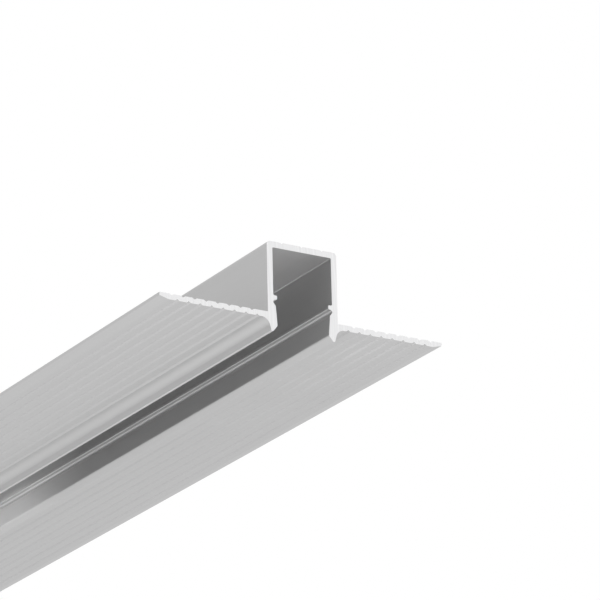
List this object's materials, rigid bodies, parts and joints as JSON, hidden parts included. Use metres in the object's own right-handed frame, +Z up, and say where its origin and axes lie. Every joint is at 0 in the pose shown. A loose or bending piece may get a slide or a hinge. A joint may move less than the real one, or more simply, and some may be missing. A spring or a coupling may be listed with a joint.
{
  "type": "led strip aluminium profile",
  "caption": "Plaster-in aluminium channel for an LED strip: deep square channel open underneath, with snap ribs and lips, between two wide grooved flanges.",
  "frame": {"origin": "midway along the bar, under the middle of the channel's opening, level with the tips of the two lips", "axes": "+X across the bar, +Y along it, +Z up from the opening to the web, as it sits in a ceiling"},
  "size_m": [0.059, 0.5, 0.0172],
  "materials": {
    "aluminium": "satin anodised, bare on the two saw cuts"
  },
  "bodies": {
    "root": {"profile": "aluminium"}
  },
  "joints": []
}
